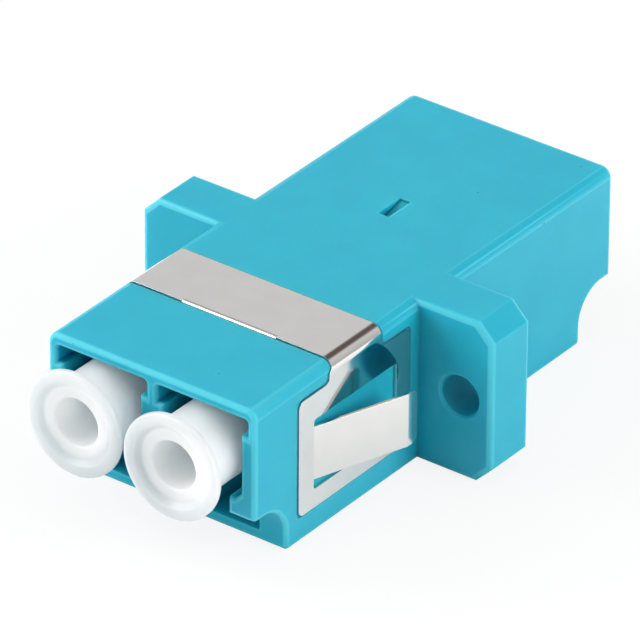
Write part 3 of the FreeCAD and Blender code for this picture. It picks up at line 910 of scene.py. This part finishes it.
@dataclass
class Studio:
    """Plain pale floor, pale surround and soft lamps."""

    surround: float = 0.35
    backdrop: float = 0.72
    backdrop_azimuth: float = 205.0
    backdrop_rise: float = 22.0
    backdrop_cosines: tuple[float, float] = (-0.1, 0.75)
    dark_tone: Colour = (0.13, 0.095, 0.09, 1)
    dark_from: float = 41.0
    dark_from_blur: float = 5.0
    dark_to: float = 53.0
    dark_to_blur: float = 6.0
    dark_cosines: tuple[float, float] = (0.15, 0.4)
    floor_half: float = 0.6
    floor_gap: float = 0.02 * MM
    floor_colour: Colour = (0.80, 0.80, 0.80, 1)
    floor_glow: float = 0.84
    floor_diffuse: float = 0.155
    mirrored_glow: float = 0.20
    mirrored_diffuse: float = 0.94
    lamps: tuple[Softbox, ...] = (
        Softbox("lamp_over", azimuth=20, elevation=78, distance=0.40, size=0.22, power=0.08),
        Softbox("lamp_left", azimuth=-60, elevation=31, distance=0.45, size=0.31, power=1.38),
        Softbox("lamp_front", azimuth=-25, elevation=8, distance=0.45, size=0.30, power=0.46),
        Softbox("lamp_right", azimuth=100, elevation=24, distance=0.45, size=0.30, power=1.25),
    )

    def build(self, underside: float) -> None:
        """Makes the floor, the world and the lamps.

        Args:
            underside: height the adapter lies at.
        """
        self._floor(underside - self.floor_gap)
        self._world()
        for lamp in self.lamps:
            lamp.build(Vector((0, 0, 0)))

    def _floor(self, height: float) -> None:
        """Large floor, near white with a soft shadow, which is stronger where steel mirrors it.

        Args:
            height: Z of the floor.
        """
        half = self.floor_half
        corners = [(-half, -half, height), (half, -half, height), (half, half, height), (-half, half, height)]
        mesh = bpy.data.meshes.new("floor")
        mesh.from_pydata(corners, [], [(0, 1, 2, 3)])
        material = bpy.data.materials.new("pale_floor")
        material.use_nodes = True
        wires = Wiring(material.node_tree)
        matt = wires.add("ShaderNodeBsdfDiffuse", Color=self.floor_colour)
        mirrored = wires.add("ShaderNodeLightPath").outputs["Is Glossy Ray"]
        soft = wires.add("ShaderNodeBsdfDiffuse",
                         Color=wires.remap(mirrored, 0, 1, self.floor_diffuse, self.mirrored_diffuse))
        glow = wires.add("ShaderNodeEmission", Color=(1, 1, 1, 1),
                         Strength=wires.remap(mirrored, 0, 1, self.floor_glow, self.mirrored_glow))
        lit = wires.add("ShaderNodeAddShader")
        wires.feed(lit.inputs[0], soft.outputs[0])
        wires.feed(lit.inputs[1], glow.outputs[0])
        mix = wires.add("ShaderNodeMixShader", Fac=self._seen_directly(wires))
        wires.feed(mix.inputs[1], matt.outputs[0])
        wires.feed(mix.inputs[2], lit.outputs[0])
        wires.add("ShaderNodeOutputMaterial", Surface=mix.outputs[0])
        link_piece("floor", mesh, material)

    @staticmethod
    def _seen_directly(wires: Wiring) -> bpy.types.NodeSocket:
        """Tells the rays that show the floor from those that only light the adapter.

        Args:
            wires: the floor material's wiring.

        Returns:
            A socket that is 1 for camera, glossy and transmission rays.
        """
        path = wires.add("ShaderNodeLightPath").outputs
        seen = wires.math("MAXIMUM", path["Is Camera Ray"], path["Is Glossy Ray"])
        return wires.math("MAXIMUM", seen, path["Is Transmission Ray"])

    def _facing(self, wires: Wiring, way: bpy.types.NodeSocket, rise_deg: float) -> bpy.types.NodeSocket:
        """How nearly a direction points at the backdrop.

        Args:
            wires: the world's wiring.
            way: the direction.
            rise_deg: how high the backdrop's middle is taken to be.

        Returns:
            1 straight at it and -1 straight away.
        """
        return wires.dot(way, heading(self.backdrop_azimuth, rise_deg))

    @staticmethod
    def _step(wires: Wiring, value: bpy.types.NodeSocket, low: float, high: float, start: float,
              end: float) -> bpy.types.NodeSocket:
        """Smooth step from one level to another.

        Args:
            wires: the world's wiring.
            value: what the step follows.
            low: value at which it starts.
            high: value at which it ends.
            start: level below the step.
            end: level above it.

        Returns:
            The level's socket.
        """
        node = wires.add("ShaderNodeMapRange", {"interpolation_type": "SMOOTHSTEP"})
        for socket, number in zip(node.inputs, (value, low, high, start, end)):
            wires.feed(socket, number)
        return node.outputs[0]

    def _rise_step(self, wires: Wiring, height: bpy.types.NodeSocket, rise_deg: float, blur_deg: float,
                   start: float, end: float) -> bpy.types.NodeSocket:
        """Smooth step at one elevation.

        Args:
            wires: the world's wiring.
            height: Z of the direction looked in.
            rise_deg: the elevation.
            blur_deg: how far the step spreads to each side of it.
            start: level below the step.
            end: level above it.

        Returns:
            The level's socket.
        """
        low, high = (math.sin(math.radians(rise_deg + blur)) for blur in (-blur_deg, blur_deg))
        return self._step(wires, height, low, high, start, end)

    def _world(self) -> None:
        """White where it is seen directly.

        As light, and where steel mirrors it, it is pale behind the adapter with a dark band high up, and
        dimmer before it.
        """
        world = bpy.data.worlds.new("studio")
        bpy.context.scene.world = world
        world.use_nodes = True
        wires = Wiring(world.node_tree)
        path = wires.add("ShaderNodeLightPath").outputs
        way = wires.add("ShaderNodeTexCoord").outputs["Generated"]
        height = wires.add("ShaderNodeSeparateXYZ", Vector=way).outputs["Z"]
        toward = self._facing(wires, way, self.backdrop_rise)
        pale = self._step(wires, toward, *self.backdrop_cosines, self.surround, self.backdrop)
        above = self._rise_step(wires, height, self.dark_from, self.dark_from_blur, 0, 1)
        below = self._rise_step(wires, height, self.dark_to, self.dark_to_blur, 1, 0)
        behind = self._step(wires, self._facing(wires, way, 0), *self.dark_cosines, 0, 1)
        shade = wires.math("MULTIPLY", wires.math("MULTIPLY", above, below), behind)
        grey = wires.add("ShaderNodeCombineXYZ", X=pale, Y=pale, Z=pale).outputs[0]
        tone = wires.blend(shade, grey, self.dark_tone)
        light = wires.add("ShaderNodeBackground", Color=tone, Strength=1.0)
        seen = wires.add("ShaderNodeBackground", Color=(1, 1, 1, 1), Strength=1.0)
        straight = wires.math("MAXIMUM", path["Is Camera Ray"], path["Is Transmission Ray"])
        mix = wires.add("ShaderNodeMixShader", Fac=straight)
        wires.feed(mix.inputs[1], light.outputs[0])
        wires.feed(mix.inputs[2], seen.outputs[0])
        wires.add("ShaderNodeOutputWorld", Surface=mix.outputs[0])


@dataclass(frozen=True)
class Viewpoint:
    """Long-lens camera above the capped ports, a little to their right."""

    azimuth: float = 36.6508
    elevation: float = 31.0572
    roll: float = 0.4098
    distance: float = 0.4594275
    lens: float = 511.317
    sensor: float = 36.0
    nearest: float = 0.01
    farthest: float = 10.0
    aim: tuple[float, float, float] = (0.0, 1.6332 * MM, 0.0128 * MM)
    aim_right: float = -0.7285 * MM
    aim_up: float = 0.3164 * MM

    def build(self) -> bpy.types.Object:
        """Makes the camera and gives it to the scene.

        Returns:
            The camera's object.
        """
        turn, roll = math.radians(self.azimuth), math.radians(self.roll)
        back = heading(self.azimuth, self.elevation)
        level = Vector((math.cos(turn), math.sin(turn), 0))
        upright = back.cross(level)
        right = level * math.cos(roll) + upright * math.sin(roll)
        up = upright * math.cos(roll) - level * math.sin(roll)
        aim = Vector(self.aim) + right * self.aim_right + up * self.aim_up
        lens = bpy.data.cameras.new("camera")
        lens.sensor_width = self.sensor
        lens.lens = self.lens
        lens.clip_start = self.nearest
        lens.clip_end = self.farthest
        camera = bpy.data.objects.new("camera", lens)
        bpy.context.scene.collection.objects.link(camera)
        camera.matrix_world = Matrix((
            (right.x, up.x, back.x, aim.x + back.x * self.distance),
            (right.y, up.y, back.y, aim.y + back.y * self.distance),
            (right.z, up.z, back.z, aim.z + back.z * self.distance),
            (0, 0, 0, 1),
        ))
        bpy.context.scene.camera = camera
        return camera


def main() -> None:
    """Builds every sub-assembly, then the studio round it."""
    logging.basicConfig(level=logging.INFO, format="%(name)s: %(message)s")
    bpy.context.scene.view_settings.view_transform = "Standard"
    tree = TurningTree()
    for piece in Housing().build():
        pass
    PanelClip().build()
    white = WhiteMoulding().build()
    for cap in (DustCap("dust_cap_left", Body.CAP_LEFT), DustCap("dust_cap_right", Body.CAP_RIGHT)):
        cap.build(tree, white)
    ceramic = GroundCeramic().build()
    for sleeve in (SplitSleeve("sleeve_left"), SplitSleeve("sleeve_right")):
        sleeve.build(tree, ceramic)
    Studio().build(cad_box[0].z)
    Viewpoint().build()


if __name__ == "__main__":
    main()
